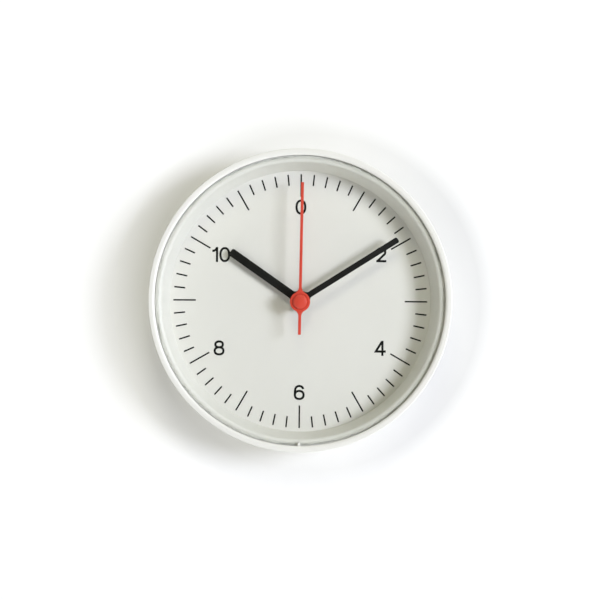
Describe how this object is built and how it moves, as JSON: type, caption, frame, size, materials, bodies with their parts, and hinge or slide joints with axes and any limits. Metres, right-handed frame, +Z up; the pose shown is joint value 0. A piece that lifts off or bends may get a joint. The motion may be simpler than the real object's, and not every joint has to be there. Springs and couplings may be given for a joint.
{
  "type": "wall clock",
  "caption": "Round wall clock: deep moulded case, recessed numbered dial, hour, minute and second hands under a flat clear lens, and a quartz movement behind.",
  "frame": {"origin": "on the wall plane, at the middle of the round end of the hanging slot, where the wall screw sits; the hands' axis is 100 mm below it", "axes": "+Z up, towards the dial's zero mark; the dial faces -Y, the wall is the plane Y = 0; +X is to the right of the dial"},
  "size_m": [0.265, 0.05, 0.265],
  "materials": {
    "white_plastic": "fine satin moulding",
    "dial_white": "matt printed card",
    "clear_lens": "clear polished plastic",
    "hand_black": "matt black paint on sheet aluminium",
    "hand_red": "satin red paint on sheet aluminium",
    "cap_red": "satin red moulding",
    "black_plastic": "fine spark texture",
    "gear_plastic": "natural acetal",
    "brass": "turned",
    "steel": "plated sheet and wire",
    "gasket_rubber": "moulded",
    "copper_wire": "enamelled wire in even layers",
    "board_green": "solder mask",
    "magnet": "sintered ferrite",
    "battery_sleeve": "plain shrink sleeve, without print"
  },
  "bodies": {
    "case": {"case_shell": "white_plastic", "front_lens": "clear_lens", "lens_tape": "clear_lens", "dial_plate": "dial_white", "back_cover": "white_plastic", "cover_screw_1": "steel", "cover_screw_2": "steel", "cover_screw_3": "steel", "cover_screw_4": "steel", "centre_nut": "brass", "nut_washer": "brass", "rubber_gasket": "gasket_rubber", "front_housing": "black_plastic", "rear_housing": "black_plastic", "bridge_plate": "gear_plastic", "stator_plate": "steel", "coil_bobbin": "gear_plastic", "coil_winding": "copper_wire", "circuit_board": "board_green", "clock_chip": "black_plastic", "quartz_crystal": "steel", "positive_contact": "steel", "negative_contact": "steel"},
    "second_work": {"second_wheel": "gear_plastic", "second_hand_tube": "brass", "second_hand": "hand_red", "second_hand_cap": "cap_red"},
    "minute_work": {"minute_arbor": "brass", "centre_wheel": "gear_plastic", "clutch_spring": "steel", "minute_hand": "hand_black"},
    "hour_work": {"hour_wheel": "gear_plastic", "hour_hand": "hand_black"},
    "rotor": {"rotor_pinion": "gear_plastic", "rotor_magnet": "magnet"},
    "fifth": {"fifth_wheel": "gear_plastic"},
    "third": {"third_wheel": "gear_plastic"},
    "minute_reduction": {"minute_wheel": "gear_plastic", "setting_knob": "black_plastic"},
    "battery": {"battery_cell": "battery_sleeve", "battery_terminal": "steel"}
  },
  "joints": [
    {"name": "second_hand_turn", "type": "hinge", "parent": "case", "child": "second_work", "pos_m": [0, -0.0415, -0.1], "axis": [0, 1, 0], "continuous": true},
    {"name": "minute_hand_turn", "type": "hinge", "parent": "case", "child": "minute_work", "pos_m": [0, -0.036, -0.1], "axis": [0, 1, 0], "continuous": true},
    {"name": "hour_hand_turn", "type": "hinge", "parent": "case", "child": "hour_work", "pos_m": [0, -0.029, -0.1], "axis": [0, 1, 0], "continuous": true},
    {"name": "rotor_spin", "type": "hinge", "parent": "case", "child": "rotor", "pos_m": [-0.00958, -0.01, -0.0881], "axis": [0, 1, 0], "continuous": true},
    {"name": "fifth_wheel_spin", "type": "hinge", "parent": "case", "child": "fifth", "pos_m": [-0.00662, -0.01, -0.09445], "axis": [0, 1, 0], "continuous": true},
    {"name": "third_wheel_spin", "type": "hinge", "parent": "case", "child": "third", "pos_m": [0.00799, -0.01, -0.09709], "axis": [0, 1, 0], "continuous": true},
    {"name": "minute_wheel_spin", "type": "hinge", "parent": "case", "child": "minute_reduction", "pos_m": [0.00078, -0.01, -0.09103], "axis": [0, 1, 0], "continuous": true},
    {"name": "battery_slide", "type": "slide", "parent": "case", "child": "battery", "axis": [0, 1, 0], "range_m": [0, 0.03]}
  ],
  "couplings": [
    {"joint": "minute_hand_turn", "follows": "second_hand_turn", "ratio": 0.016667},
    {"joint": "hour_hand_turn", "follows": "second_hand_turn", "ratio": 0.0013889},
    {"joint": "rotor_spin", "follows": "second_hand_turn", "ratio": 30},
    {"joint": "fifth_wheel_spin", "follows": "second_hand_turn", "ratio": -5},
    {"joint": "third_wheel_spin", "follows": "second_hand_turn", "ratio": -0.13333},
    {"joint": "minute_wheel_spin", "follows": "second_hand_turn", "ratio": -0.0055556}
  ]
}
